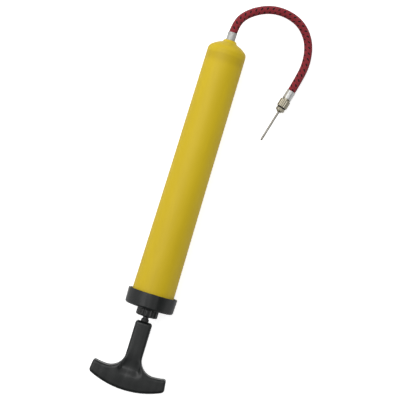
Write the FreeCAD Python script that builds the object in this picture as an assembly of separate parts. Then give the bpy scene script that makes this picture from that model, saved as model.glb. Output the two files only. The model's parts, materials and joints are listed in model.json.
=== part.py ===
import FreeCAD
import Part
import math
import os

# Hand pump for inflating balls, lying on its side as it is put down. Millimetres.
# The pump is drawn on the bench first: its axis is +Y, and a station is the distance along it
# from the outer face of the end cap, positive towards the nose. It is then laid on the floor,
# z = 0, where the rim of the cap and the shoulder of the slimmer nose both touch.

V = FreeCAD.Vector
AXIS = V(0, 1, 0)

# End cap and gland
CAP_RADIUS = 21.1
CAP_DRAFT = 0.35
CAP_LENGTH = 13.2
CAP_FLOOR = 3.0
CAP_EDGE = 2.0
CAP_THREAD_RADIUS = 19.0
CAP_MOUTH_RADIUS = 19.6
CAP_HUB_RADIUS = 9.5
CAP_HUB_END = 8.0
GASKET_THICKNESS = 1.0
GLAND_RADIUS = 9.2
GLAND_LENGTH = 7.0
GLAND_FLUTES = 12
GLAND_FLUTE_RADIUS = 1.2
GLAND_FLUTE_DEPTH = 0.72
GLAND_SPIGOT_RADIUS = 6.9
GLAND_SPIGOT_END = 4.5
WIPER_THICKNESS = 2.0

# Barrel, one moulding with the nose
BORE_RADIUS = 15.0
BORE_END = 221.0
COLLAR_RADIUS = 18.9
COLLAR_END = 9.5
FOOT_RADIUS = 17.95
MIDDLE_STATION = 120.0
MIDDLE_RADIUS = 16.95
SHOULDER = 222.8
NOSE_RADIUS = 16.45
DOME_START = (14.2, 227.4)
DOME_END = (7.3, 231.4)
BOSS_RADIUS = 4.3
BOSS_END = 235.0

# Outlet valve and hose nipple
PORT_RADIUS = 1.5
CHAMBER_RADIUS = 2.7
CHAMBER_START = 221.8
SEAT_THICKNESS = 2.0
SEAT_EDGE_RADIUS = 1.6
BALL_RADIUS = 2.0
SPRING_WIRE_RADIUS = 0.2
SPRING_WIRE_SIDES = 12
SPRING_RADIUS = 1.5
SPRING_TURNS = 4
SPRING_CLEARANCE = 0.25
NIPPLE_START = 230.6
NIPPLE_THREAD_RADIUS = 3.2
NIPPLE_BORE_RADIUS = 1.0
NIPPLE_END = 243.0
O_RING_WIRE_RADIUS = 0.6

# Plunger
ROD_RADIUS = 2.5
ROD_NECK_RADIUS = 2.0
ROD_SHOULDER = 203.0
ROD_END = 218.3
RUNNING_GAP = 0.1
SHANK_END = -11.7
BUMPER_END = -9.0
BUMPER_RADIUS = 3.3
HANDLE_END = -70.6
HANDLE_HALF_WIDTH = 32.7
BAR_THICKNESS = 15.0
SHANK_WIDTH = 14.1
SHANK_THICKNESS = 12.4
ARM_TOP = -54.0
ARM_TIP_TOP = -52.6
ARM_TIP_BOTTOM = -62.6
CROTCH_RADIUS = 13.0
TROUGH_DEPTH = 1.6

# Piston and its floating ring
PISTON_RADIUS = 14.5
PISTON_START = 203.1
PISTON_END = 214.0
GROOVE_START = 206.2
GROOVE_END = 210.6
GROOVE_RADIUS = 11.0
RING_WIRE_RADIUS = 1.8
INLET_NOTCHES = 4
THRUST_RADIUS = 5.0
THRUST_THICKNESS = 1.0
NUT_FLATS = 7.0
NUT_THICKNESS = 3.2

# Hose and the fittings on it. The route is the hose's axis as it lies, in the final frame.
HOSE_RADIUS = 3.5
HOSE_BORE_RADIUS = 1.8
HOSE_START = 235.4
ROUTE = [
    (0.0, 149.2, 16.2),
    (0.0, 162.8, 15.8),
    (7.2, 174.2, 14.0),
    (22.6, 183.3, 11.6),
    (38.0, 184.9, 9.0),
    (53.2, 180.2, 6.0),
    (63.9, 167.8, 3.5),
    (67.4, 150.2, 3.5),
    (64.4, 133.0, 4.6),
    (60.1, 117.0, 4.6),
]
FERRULE_RADIUS = 3.9
FERRULE_BORE_RADIUS = 3.55
NEAR_FERRULE_LENGTH = 8.0
FAR_FERRULE_OVERLAP = 6.5
FAR_FERRULE_END = 1.2
BARB_RADIUS = 1.75
SOCKET_NECK_RADIUS = 3.6
SOCKET_NECK_LENGTH = 1.4
SOCKET_RADIUS = 4.6
SOCKET_LENGTH = 6.6
SOCKET_FLUTES = 14
SOCKET_FLUTE_RADIUS = 0.55
SOCKET_FLUTE_DEPTH = 0.3
NEEDLE_THREAD_RADIUS = 3.0
NEEDLE_THREAD_LENGTH = 5.0
NEEDLE_GASKET_THICKNESS = 1.0
NEEDLE_GASKET_RADIUS = 3.7
HUB_RADIUS = 3.8
HUB_LENGTH = 2.8
HUB_NOSE_LENGTH = 1.2
NEEDLE_RADIUS = 0.9
NEEDLE_TAIL_RADIUS = 0.7
NEEDLE_BORE_RADIUS = 0.5
NEEDLE_LENGTH = 28.0
NEEDLE_RELIEF = 0.4

# The pump lies nose down, and the frame's origin is under the middle of its length.
REST_TILT = math.atan((CAP_RADIUS - NOSE_RADIUS) / (SHOULDER - CAP_LENGTH))
AXIS_HEIGHT = CAP_RADIUS * math.cos(REST_TILT) + CAP_LENGTH * math.sin(REST_TILT)
MIDDLE = (HANDLE_END + NIPPLE_END) / 2 - 0.05


def outline(start, *steps):
    """A closed wire in the XY plane. A step is the next point, or (middle, end) of an arc."""
    edges = []
    here = V(start[0], start[1], 0)
    for step in steps + (start,):
        is_arc = isinstance(step[0], tuple)
        end = V(*step[1], 0) if is_arc else V(*step, 0)
        if is_arc:
            edges.append(Part.Arc(here, V(*step[0], 0), end).toShape())
        else:
            edges.append(Part.LineSegment(here, end).toShape())
        here = end
    return Part.Wire(edges)


def turned(start, *steps):
    """A solid of revolution about the pump's axis, from (radius, station) points."""
    return Part.Face(outline(start, *steps)).revolve(V(0, 0, 0), AXIS, 360)


def rod(radius, start, end):
    """A round bar on the axis."""
    return Part.makeCylinder(radius, end - start, V(0, start, 0), AXIS)


def ring(outer, inner, start, end):
    """A flat ring on the axis."""
    return rod(outer, start, end).cut(rod(inner, start - 1, end + 1))


def o_ring(radius, wire_radius, station):
    """A ring of round section on the axis."""
    return Part.makeTorus(radius, wire_radius, V(0, station, 0), AXIS)


def around(count, shape):
    """Copies of a shape, evenly spaced round the axis, as one shape."""
    copies = []
    for turn in range(count):
        copy = shape.copy()
        copy.rotate(V(0, 0, 0), AXIS, turn * 360 / count)
        copies.append(copy)
    return copies[0].multiFuse(copies[1:]) if count > 1 else copies[0]


def fluted(body, count, radius, flute_radius, depth, start, end):
    """A knob with round flutes cut along its side, and a land between two flutes on top."""
    centre = V(radius + flute_radius - depth, start - 1, 0)
    flute = Part.makeCylinder(flute_radius, end - start + 2, centre, AXIS)
    flute.rotate(V(0, 0, 0), AXIS, 90 + 180 / count)
    return body.cut(around(count, flute))


def end_cap():
    """Screw cap: a drafted skirt with a rounded end, and a hub inside for the gland."""
    end_radius = CAP_RADIUS - CAP_DRAFT
    corner = CAP_EDGE * (1 - math.sqrt(0.5))
    skirt = turned(
        (GLAND_SPIGOT_RADIUS + 0.1, 0),
        (end_radius - CAP_EDGE, 0),
        ((end_radius - corner, corner), (end_radius, CAP_EDGE)),
        (CAP_RADIUS, CAP_LENGTH),
        (CAP_MOUTH_RADIUS, CAP_LENGTH),
        (CAP_MOUTH_RADIUS, COLLAR_END + 0.5),
        (CAP_THREAD_RADIUS, COLLAR_END + 0.5),
        (CAP_THREAD_RADIUS, CAP_FLOOR),
        (CAP_HUB_RADIUS, CAP_FLOOR),
        (CAP_HUB_RADIUS, CAP_HUB_END),
        (ROD_RADIUS + 0.7, CAP_HUB_END),
        (ROD_RADIUS + 0.7, GLAND_SPIGOT_END + WIPER_THICKNESS),
        (GLAND_SPIGOT_RADIUS + 0.1, GLAND_SPIGOT_END + WIPER_THICKNESS),
    )
    return skirt


def cap_gasket():
    """Flat rubber ring between the cap's floor and the barrel's open end."""
    start = CAP_FLOOR
    return ring(COLLAR_RADIUS - 0.3, BORE_RADIUS, start, start + GASKET_THICKNESS)


def gland_nut():
    """Fluted nut that screws into the cap and guides the rod."""
    head = turned(
        (ROD_RADIUS + RUNNING_GAP, -GLAND_LENGTH),
        (GLAND_RADIUS - 0.8, -GLAND_LENGTH),
        (GLAND_RADIUS, 0.8 - GLAND_LENGTH),
        (GLAND_RADIUS - 0.3, 0),
        (ROD_RADIUS + RUNNING_GAP, 0),
    )
    flute = (GLAND_RADIUS, GLAND_FLUTE_RADIUS, GLAND_FLUTE_DEPTH)
    head = fluted(head, GLAND_FLUTES, *flute, -GLAND_LENGTH, 0)
    return head.fuse(ring(GLAND_SPIGOT_RADIUS, ROD_RADIUS + RUNNING_GAP, 0, GLAND_SPIGOT_END))


def rod_wiper():
    """Felt ring held between the gland nut and the cap, which oils and wipes the rod."""
    start = GLAND_SPIGOT_END
    return ring(GLAND_SPIGOT_RADIUS, ROD_RADIUS + RUNNING_GAP, start, start + WIPER_THICKNESS)


def barrel():
    """Tapered tube, collar for the cap's thread, domed nose and hose boss in one piece."""
    start = CAP_FLOOR + GASKET_THICKNESS
    outside = turned(
        (0, start),
        (COLLAR_RADIUS, start),
        (COLLAR_RADIUS, COLLAR_END - 0.6),
        (FOOT_RADIUS, COLLAR_END),
        (MIDDLE_RADIUS, MIDDLE_STATION),
        (NOSE_RADIUS, SHOULDER),
        ((15.85, 225.6), DOME_START),
        ((10.9, 229.75), DOME_END),
        ((6.35, 232.1), (5.6, 233.1)),
        ((5.1, 234.3), (BOSS_RADIUS, BOSS_END)),
        (0, BOSS_END),
    )
    bore = rod(BORE_RADIUS, start - 1, BORE_END)
    port = rod(PORT_RADIUS, BORE_END - 1, CHAMBER_START + 1)
    chamber = rod(CHAMBER_RADIUS, CHAMBER_START, NIPPLE_START)
    thread = rod(NIPPLE_THREAD_RADIUS, NIPPLE_START, BOSS_END + 1)
    return outside.cut(bore).cut(port).cut(chamber).cut(thread)


def valve_seat():
    """Brass disc with a coned hole that the ball closes."""
    end = CHAMBER_START + SEAT_THICKNESS
    return turned(
        (1.0, CHAMBER_START),
        (CHAMBER_RADIUS - 0.05, CHAMBER_START),
        (CHAMBER_RADIUS - 0.05, end),
        (SEAT_EDGE_RADIUS, end),
        (1.0, end - 0.6),
    )


def ball_station():
    """The ball rests just clear of the seat's edge."""
    drop = math.sqrt(BALL_RADIUS**2 - SEAT_EDGE_RADIUS**2)
    return CHAMBER_START + SEAT_THICKNESS + drop + 0.08


def valve_ball():
    """Steel ball of the outlet valve."""
    return Part.makeSphere(BALL_RADIUS, V(0, ball_station(), 0))


def valve_spring():
    """Coil spring that holds the ball on its seat. Its wire is drawn with flat sides."""
    touch = ball_station() + math.sqrt(BALL_RADIUS**2 - SPRING_RADIUS**2)
    start = touch + SPRING_WIRE_RADIUS + SPRING_CLEARANCE
    pitch = (NIPPLE_START - SPRING_WIRE_RADIUS - start) / SPRING_TURNS
    helix = Part.makeHelix(pitch, pitch * SPRING_TURNS, SPRING_RADIUS)
    points = []
    for side in range(SPRING_WIRE_SIDES):
        angle = 2 * math.pi * side / SPRING_WIRE_SIDES
        across = SPRING_RADIUS + SPRING_WIRE_RADIUS * math.cos(angle)
        points.append(V(across, 0, SPRING_WIRE_RADIUS * math.sin(angle)))
    section = Part.makePolygon(points + points[:1])
    coil = Part.Wire(helix).makePipeShell([section], True, True)
    coil.rotate(V(0, 0, 0), V(1, 0, 0), -90)
    coil.translate(V(0, start, 0))
    return coil


def barbs(radius, start, end, count, bore_radius):
    """A hose tail: a row of cones that taper towards the hose, which is towards the end."""
    pitch = (end - start) / count
    points = [(bore_radius, start)]
    for barb in range(count):
        foot = start + barb * pitch
        points += [(radius, foot), (radius, foot + 0.3 * pitch), (radius - 0.35, foot + pitch)]
    points.append((bore_radius, end))
    return turned(*points)


def hose_nipple():
    """Brass tail screwed into the nose, with barbs that the hose is pushed over."""
    screw = ring(NIPPLE_THREAD_RADIUS - 0.05, NIPPLE_BORE_RADIUS, NIPPLE_START, BOSS_END - 1.6)
    waist = ring(BARB_RADIUS, NIPPLE_BORE_RADIUS, BOSS_END - 1.6, HOSE_START)
    tail = barbs(BARB_RADIUS, HOSE_START, NIPPLE_END, 3, NIPPLE_BORE_RADIUS)
    return screw.fuse(waist).fuse(tail).removeSplitter()


def nipple_o_ring():
    """Seal under the mouth of the boss, round the nipple's waist."""
    radius = BARB_RADIUS + O_RING_WIRE_RADIUS + 0.02
    return o_ring(radius, O_RING_WIRE_RADIUS, BOSS_END - 1.6 + O_RING_WIRE_RADIUS + 0.05)


def ferrule(start, end):
    """Crimped sleeve: a rolled waist between two plain ends, flattened on eight sides."""
    length = end - start
    sleeve = turned(
        (FERRULE_BORE_RADIUS, start),
        (FERRULE_RADIUS, start),
        (FERRULE_RADIUS, start + 0.42 * length),
        ((FERRULE_RADIUS - 0.2, start + 0.5 * length), (FERRULE_RADIUS, start + 0.58 * length)),
        (FERRULE_RADIUS, end - 0.3),
        (FERRULE_RADIUS - 0.15, end),
        (FERRULE_BORE_RADIUS, end),
    )
    sides = prism(8, 2 * FERRULE_RADIUS - 0.22, start - 1, end + 1)
    return sleeve.common(sides)


def prism(sides, flats, start, end):
    """A regular bar on the axis, of this size across its flats."""
    corner = flats / 2 / math.cos(math.pi / sides)
    points = []
    for side in range(sides):
        angle = 2 * math.pi * (side + 0.5) / sides
        points.append(V(corner * math.cos(angle), start, corner * math.sin(angle)))
    return Part.Face(Part.makePolygon(points + points[:1])).extrude(V(0, end - start, 0))


def near_ferrule():
    """Sleeve that holds the hose on the pump's nipple."""
    return ferrule(BOSS_END, BOSS_END + NEAR_FERRULE_LENGTH)


def plunger_rod():
    """Steel rod: threaded into the handle, with a neck that carries the piston."""
    shank = rod(ROD_RADIUS, SHANK_END - 22, ROD_SHOULDER)
    neck = rod(ROD_NECK_RADIUS, ROD_SHOULDER, ROD_END)
    return shank.fuse(neck)


def handle_outline():
    """Front of the T handle: shank, round crotches, tapering arms and an arched foot."""
    side = SHANK_WIDTH / 2
    crotch = side + CROTCH_RADIUS
    crotch_start = ARM_TOP + CROTCH_RADIUS
    bow = CROTCH_RADIUS * math.sqrt(0.5)
    tip = HANDLE_HALF_WIDTH
    edge = 1.2
    return outline(
        (-side, SHANK_END),
        (side, SHANK_END),
        (side, crotch_start),
        ((crotch - bow, crotch_start - bow), (crotch, ARM_TOP)),
        ((crotch + 5.6, ARM_TOP + 0.45), (tip - 1.4 - edge, ARM_TIP_TOP)),
        ((tip - 1.5, ARM_TIP_TOP - 0.4), (tip - 1.0, ARM_TIP_TOP - 1.4)),
        (tip, ARM_TIP_BOTTOM + 0.8),
        ((tip - 0.3, ARM_TIP_BOTTOM - 0.1), (tip - edge, ARM_TIP_BOTTOM - 0.6)),
        ((0, HANDLE_END), (edge - tip, ARM_TIP_BOTTOM - 0.6)),
        ((0.3 - tip, ARM_TIP_BOTTOM - 0.1), (-tip, ARM_TIP_BOTTOM + 0.8)),
        (1.0 - tip, ARM_TIP_TOP - 1.4),
        ((1.5 - tip, ARM_TIP_TOP - 0.4), (1.4 + edge - tip, ARM_TIP_TOP)),
        ((-crotch - 5.6, ARM_TOP + 0.45), (-crotch, ARM_TOP)),
        ((bow - crotch, crotch_start - bow), (-side, crotch_start)),
    )


def handle_side_cut():
    """What is taken off the front and back of the shank, down to a trough at the bar."""
    bar = BAR_THICKNESS / 2
    shank = SHANK_THICKNESS / 2
    foot = ARM_TOP + 1.0
    points = [
        V(0, SHANK_END + 1, shank),
        V(0, foot + 14, shank),
        V(0, foot, shank - TROUGH_DEPTH),
        V(0, foot - 1.2, bar + 1),
        V(0, SHANK_END + 1, bar + 1),
    ]
    face = Part.Face(Part.makePolygon(points + points[:1]))
    face.translate(V(-HANDLE_HALF_WIDTH, 0, 0))
    return face.extrude(V(2 * HANDLE_HALF_WIDTH, 0, 0))


def handle():
    """T handle, moulded in one piece, with a blind hole for the rod."""
    blank = Part.Face(handle_outline()).extrude(V(0, 0, BAR_THICKNESS))
    blank.translate(V(0, 0, -BAR_THICKNESS / 2))
    width = SHANK_WIDTH / 2
    for side in (1, -1):
        block = handle_side_cut()
        if side < 0:
            block = block.mirror(V(0, 0, 0), V(0, 0, 1))
        keep = Part.makeBox(2 * width, 60, 60, V(-width, SHANK_END - 59, -30))
        blank = blank.cut(block.common(keep))
    return blank.cut(rod(ROD_RADIUS, SHANK_END - 22, SHANK_END + 1))


def stop_bumper():
    """Rubber collar on the rod that meets the gland at the end of the push."""
    return turned(
        (ROD_RADIUS, SHANK_END),
        (BUMPER_RADIUS, SHANK_END),
        (BUMPER_RADIUS, BUMPER_END - 0.8),
        (BUMPER_RADIUS - 0.4, BUMPER_END),
        (ROD_RADIUS, BUMPER_END),
    )


def piston():
    """Two flanges and a groove. The front flange is notched to let air pass the ring."""
    body = turned(
        (ROD_NECK_RADIUS + RUNNING_GAP, PISTON_START),
        (PISTON_RADIUS - 0.5, PISTON_START),
        (PISTON_RADIUS, PISTON_START + 0.5),
        (PISTON_RADIUS, GROOVE_START),
        (GROOVE_RADIUS, GROOVE_START),
        (GROOVE_RADIUS, GROOVE_END),
        (PISTON_RADIUS, GROOVE_END),
        (PISTON_RADIUS, PISTON_END - 0.5),
        (PISTON_RADIUS - 0.5, PISTON_END),
        (ROD_NECK_RADIUS + RUNNING_GAP, PISTON_END),
    )
    depth = PISTON_RADIUS - GROOVE_RADIUS + 1
    length = PISTON_END - GROOVE_END + 1
    notch = Part.makeBox(depth, length, 3, V(GROOVE_RADIUS - 0.4, GROOVE_END, -1.5))
    return body.cut(around(INLET_NOTCHES, notch))


def ring_station():
    """The ring rests against the rear flange, where the last push left it."""
    return GROOVE_START + RING_WIRE_RADIUS + 0.05


def piston_ring():
    """Rubber ring that seals on the push and floats forward to let air by on the pull."""
    return o_ring(BORE_RADIUS - RUNNING_GAP - RING_WIRE_RADIUS, RING_WIRE_RADIUS, ring_station())


def thrust_washer():
    """Washer that carries the push from the piston, held by the rod's neck behind it."""
    start = ROD_SHOULDER - THRUST_THICKNESS
    return ring(THRUST_RADIUS, ROD_RADIUS, start, ROD_SHOULDER)


def piston_washer():
    """Washer between the piston and its nut."""
    start = PISTON_END + RUNNING_GAP
    return ring(THRUST_RADIUS - 0.5, ROD_NECK_RADIUS, start, start + 0.6)


def piston_nut():
    """Lock nut on the end of the rod, which leaves the piston free to turn."""
    start = PISTON_END + RUNNING_GAP + 0.6
    nut = prism(6, NUT_FLATS, start, start + NUT_THICKNESS)
    return nut.cut(rod(ROD_NECK_RADIUS, start - 1, start + NUT_THICKNESS + 1))


def lay_down(shape):
    """Moves a shape from the bench to where the pump lies."""
    placed = shape.copy()
    placed.rotate(V(0, 0, 0), V(1, 0, 0), -math.degrees(REST_TILT))
    placed.translate(V(0, -MIDDLE, AXIS_HEIGHT))
    return placed


def route_points():
    return [V(*point) for point in ROUTE]


def route_radii():
    """The radius of the arc at each inner point of the hose's route."""
    points = route_points()
    radii = []
    for before, here, after in zip(points, points[1:], points[2:]):
        turn = (here - before).getAngle(after - here)
        radii.append(0.45 * min((here - before).Length, (after - here).Length) / math.tan(turn / 2))
    return radii


def route_path():
    """Straight runs joined by tangent arcs."""
    points = route_points()
    edges = []
    here = points[0]
    for before, corner, after in zip(points, points[1:], points[2:]):
        reach = 0.45 * min((corner - before).Length, (after - corner).Length)
        back = (before - corner).normalize()
        onward = (after - corner).normalize()
        start = corner + back * reach
        end = corner + onward * reach
        half_turn = (-back).getAngle(onward) / 2
        radius = reach / math.tan(half_turn)
        sagitta = radius / math.cos(half_turn) - radius
        middle = corner + (back + onward).normalize() * sagitta
        edges.append(Part.LineSegment(here, start).toShape())
        edges.append(Part.Arc(start, middle, end).toShape())
        here = end
    edges.append(Part.LineSegment(here, points[-1]).toShape())
    return Part.Wire(edges)


def tube_along(path, radius):
    """A round bar along a path."""
    first, second = route_points()[:2]
    section = Part.Wire(Part.makeCircle(radius, first, second - first))
    return path.makePipeShell([section], True, False)


def hose():
    """Rubber hose with its woven cover, pushed over the tails at both ends."""
    path = route_path()
    shape = tube_along(path, HOSE_RADIUS).cut(tube_along(path, HOSE_BORE_RADIUS))
    expected = math.pi * (HOSE_RADIUS**2 - HOSE_BORE_RADIUS**2) * path.Length
    print(f"hose: {path.Length:.1f} mm, volume {shape.Volume:.0f}, section times length {expected:.0f}")
    print("hose radii:", ", ".join(f"{radius:.1f}" for radius in route_radii()))
    return shape


def at_hose_end(shape):
    """Puts a fitting drawn on the bench at the hose's far end, station 0 at the hose's end."""
    before, end = route_points()[-2:]
    turn = FreeCAD.Rotation(AXIS, end - before)
    placed = shape.copy()
    placed.Placement = FreeCAD.Placement(end, turn).multiply(placed.Placement)
    return placed


# Stations of the far fittings, from the hose's end
SOCKET_START = FAR_FERRULE_END
SOCKET_FACE = SOCKET_START + SOCKET_NECK_LENGTH + SOCKET_LENGTH
HUB_START = SOCKET_FACE + NEEDLE_GASKET_THICKNESS
HUB_END = HUB_START + HUB_LENGTH
NEEDLE_START = HUB_END + HUB_NOSE_LENGTH
NEEDLE_TIP = NEEDLE_START + NEEDLE_LENGTH


def far_ferrule():
    """Sleeve that holds the hose on the needle socket."""
    return ferrule(-FAR_FERRULE_OVERLAP, FAR_FERRULE_END)


def needle_socket():
    """Plated socket: a barbed tail in the hose, a neck and a fluted body with a thread."""
    tail = barbs(BARB_RADIUS, 0, FAR_FERRULE_OVERLAP, 3, NIPPLE_BORE_RADIUS)
    tail = tail.mirror(V(0, 0, 0), AXIS)
    waist = ring(BARB_RADIUS, NIPPLE_BORE_RADIUS, 0, SOCKET_START)
    body_start = SOCKET_START + SOCKET_NECK_LENGTH
    body = turned(
        (0, SOCKET_START),
        (SOCKET_NECK_RADIUS, SOCKET_START),
        (SOCKET_NECK_RADIUS, body_start),
        (SOCKET_RADIUS - 0.4, body_start),
        (SOCKET_RADIUS, body_start + 0.5),
        (SOCKET_RADIUS, SOCKET_FACE - 0.3),
        (SOCKET_RADIUS - 0.3, SOCKET_FACE),
        (0, SOCKET_FACE),
    )
    thread_radius = NEEDLE_THREAD_RADIUS + RUNNING_GAP
    body = body.cut(rod(NIPPLE_BORE_RADIUS, SOCKET_START - 1, SOCKET_FACE))
    body = body.cut(rod(thread_radius, SOCKET_FACE - NEEDLE_THREAD_LENGTH, SOCKET_FACE + 1))
    flute = (SOCKET_RADIUS, SOCKET_FLUTE_RADIUS, SOCKET_FLUTE_DEPTH)
    body = fluted(body, SOCKET_FLUTES, *flute, body_start, SOCKET_FACE)
    return tail.fuse(waist).fuse(body)


def needle_gasket():
    """Rubber washer squeezed between the socket and the needle's hub."""
    return ring(NEEDLE_GASKET_RADIUS, NEEDLE_THREAD_RADIUS + RUNNING_GAP, SOCKET_FACE, HUB_START)


def needle_hub():
    """Plated hub: a thread, a six-sided grip and a small nose round the needle."""
    start = HUB_START - NEEDLE_GASKET_THICKNESS - NEEDLE_THREAD_LENGTH + 0.4
    thread = rod(NEEDLE_THREAD_RADIUS, start, HUB_START)
    grip = turned(
        (0, HUB_START),
        (HUB_RADIUS - 0.3, HUB_START),
        (HUB_RADIUS, HUB_START + 0.3),
        (HUB_RADIUS, HUB_END - 0.5),
        (HUB_RADIUS - 0.5, HUB_END),
        (0, HUB_END),
    )
    grip = grip.common(prism(6, 2 * HUB_RADIUS - 0.7, HUB_START - 1, HUB_END + 1))
    nose = turned(
        (0, HUB_END),
        (2.4, HUB_END),
        ((2.0, HUB_END + 0.8), (1.3, NEEDLE_START)),
        (0, NEEDLE_START),
    )
    body = thread.fuse(grip).fuse(nose)
    return body.cut(rod(NEEDLE_TAIL_RADIUS, start - 1, NEEDLE_START + 1))


def needle_tube():
    """Hollow needle: a slimmer tail in the hub, a round tip and an air hole in its side."""
    start = HUB_START - NEEDLE_THREAD_LENGTH + 0.4
    bow = NEEDLE_RADIUS * math.sqrt(0.5)
    tube = turned(
        (0, start),
        (NEEDLE_TAIL_RADIUS, start),
        (NEEDLE_TAIL_RADIUS, NEEDLE_START + NEEDLE_RELIEF),
        (NEEDLE_RADIUS, NEEDLE_START + NEEDLE_RELIEF),
        (NEEDLE_RADIUS, NEEDLE_TIP - NEEDLE_RADIUS),
        ((bow, NEEDLE_TIP - NEEDLE_RADIUS + bow), (0, NEEDLE_TIP)),
    )
    tube = tube.cut(rod(NEEDLE_BORE_RADIUS, start - 1, NEEDLE_TIP - 2.5))
    hole_centre = V(0, NEEDLE_TIP - 3.6, 0)
    return tube.cut(Part.makeCylinder(0.4, 2, hole_centre, V(0, 0, 1)))


ON_THE_PUMP = [
    barrel, end_cap, cap_gasket, gland_nut, rod_wiper,
    valve_seat, valve_ball, valve_spring, hose_nipple, nipple_o_ring, near_ferrule,
    plunger_rod, handle, stop_bumper, piston, piston_ring, thrust_washer, piston_washer, piston_nut,
]
AT_THE_HOSE_END = [far_ferrule, needle_socket, needle_gasket, needle_hub, needle_tube]


def main():
    os.makedirs("parts", exist_ok=True)
    shapes = {make.__name__: lay_down(make()) for make in ON_THE_PUMP}
    shapes["hose"] = hose()
    shapes.update({make.__name__: at_hose_end(make()) for make in AT_THE_HOSE_END})
    for name, shape in shapes.items():
        if not shape.isValid() or len(shape.Solids) != 1:
            print(f"{name}: valid {shape.isValid()}, {len(shape.Solids)} solids")
        shape.exportStep(f"parts/{name}.step")


main()
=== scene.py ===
import json
import math

import bmesh
import bpy
from bpy.props import FloatProperty, FloatVectorProperty, IntProperty, PointerProperty
from bpy.types import NodeSocket, Operator, Panel, PropertyGroup
from mathutils import Matrix, Vector


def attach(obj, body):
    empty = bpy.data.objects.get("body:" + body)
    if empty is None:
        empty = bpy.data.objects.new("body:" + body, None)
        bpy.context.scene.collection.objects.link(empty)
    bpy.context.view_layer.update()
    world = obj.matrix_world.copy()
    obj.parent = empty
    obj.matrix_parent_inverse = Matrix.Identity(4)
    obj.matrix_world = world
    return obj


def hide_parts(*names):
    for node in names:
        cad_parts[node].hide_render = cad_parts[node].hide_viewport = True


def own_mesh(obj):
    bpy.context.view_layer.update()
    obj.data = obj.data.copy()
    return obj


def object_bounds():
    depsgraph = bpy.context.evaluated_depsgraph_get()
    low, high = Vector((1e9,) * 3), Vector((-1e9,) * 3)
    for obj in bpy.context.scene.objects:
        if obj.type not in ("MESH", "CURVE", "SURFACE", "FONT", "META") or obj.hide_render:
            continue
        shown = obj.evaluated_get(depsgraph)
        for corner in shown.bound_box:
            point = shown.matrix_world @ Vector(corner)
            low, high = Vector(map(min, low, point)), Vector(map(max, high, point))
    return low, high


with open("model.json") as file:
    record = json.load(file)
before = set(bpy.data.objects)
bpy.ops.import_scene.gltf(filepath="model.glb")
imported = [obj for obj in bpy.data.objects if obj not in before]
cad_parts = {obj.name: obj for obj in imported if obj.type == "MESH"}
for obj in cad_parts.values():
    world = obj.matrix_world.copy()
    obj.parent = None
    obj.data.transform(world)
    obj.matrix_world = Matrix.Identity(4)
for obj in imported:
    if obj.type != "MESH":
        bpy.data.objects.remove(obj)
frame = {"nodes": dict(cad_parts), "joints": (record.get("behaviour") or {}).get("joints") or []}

bl_info = {
    "name": "Ball Pump",
    "version": (1, 0, 0),
    "blender": (4, 5, 0),
    "location": "View3D > Sidebar > Ball Pump",
    "description": "Builds the finished surfaces of a hand pump for balls on its fixed frame",
    "category": "Object",
}

# Lengths are in metres. The pump's pieces are drawn on a bench, where the axis is +Y, a station
# is the distance along it, and +Z is up. A bench's matrix then lays the piece where the frame
# has it. The pump's station 0 is the outer face of its end cap, and the hose end's station 0 is
# the end of the hose.

CAD_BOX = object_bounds()
WELD = 1e-7
SHARP_ANGLE = math.radians(38)
PUMP_PIVOT_STATION = 0.210
NEEDLE_PIVOT_STATION = 0.0142
HOLE_DEPTH = 0.0005
THREADS = 4

# The hose's axis as it lies, from the nipple on the nose to the needle's socket.
HOSE_ROUTE = [
    (0.0, 0.1492, 0.0162),
    (0.0, 0.1628, 0.0158),
    (0.0072, 0.1742, 0.0140),
    (0.0226, 0.1833, 0.0116),
    (0.0380, 0.1849, 0.0090),
    (0.0532, 0.1802, 0.0060),
    (0.0639, 0.1678, 0.0035),
    (0.0674, 0.1502, 0.0035),
    (0.0644, 0.1330, 0.0046),
    (0.0601, 0.1170, 0.0046),
]


def joint(name):
    return next(found for found in frame["joints"] if found["name"] == name)


def bench(pivot, station):
    """The matrix of the bench whose axis is a joint's, with the joint's pivot at this station."""
    along = Vector(pivot["axis"]).normalized()
    up = Vector((0, 0, 1))
    up = (up - along * up.dot(along)).normalized()
    turn = Matrix((along.cross(up), along, up)).transposed().to_4x4()
    return Matrix.Translation(Vector(pivot["pos_m"]) - along * station) @ turn


PUMP = bench(joint("handle_turn"), PUMP_PIVOT_STATION)
HOSE_END = bench(joint("needle_turn"), NEEDLE_PIVOT_STATION)


def on_its_bench(node, place):
    to_bench = place.inverted()
    return [to_bench @ vertex.co for vertex in frame["nodes"][node].data.vertices]


def reach(node, place):
    """A frame node's radius, first station and last station on a bench."""
    points = on_its_bench(node, place)
    stations = [point.y for point in points]
    return max(math.hypot(point.x, point.z) for point in points), min(stations), max(stations)


# ---- What a user would change ----


def length(name, description, default):
    return FloatProperty(name=name, description=description, default=default, unit="LENGTH", precision=5)


def angle(name, description, degrees):
    return FloatProperty(name=name, description=description, default=math.radians(degrees), subtype="ANGLE")


def power(name, description, watts):
    return FloatProperty(name=name, description=description, default=watts, unit="POWER")


def plain(name, description, value):
    return FloatProperty(name=name, description=description, default=value)


def count_of(name, description, number):
    return IntProperty(name=name, description=description, default=number)


def colour(name, description, default):
    return FloatVectorProperty(
        name=name, description=description, default=default, size=3, min=0, max=1, subtype="COLOR"
    )


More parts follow.
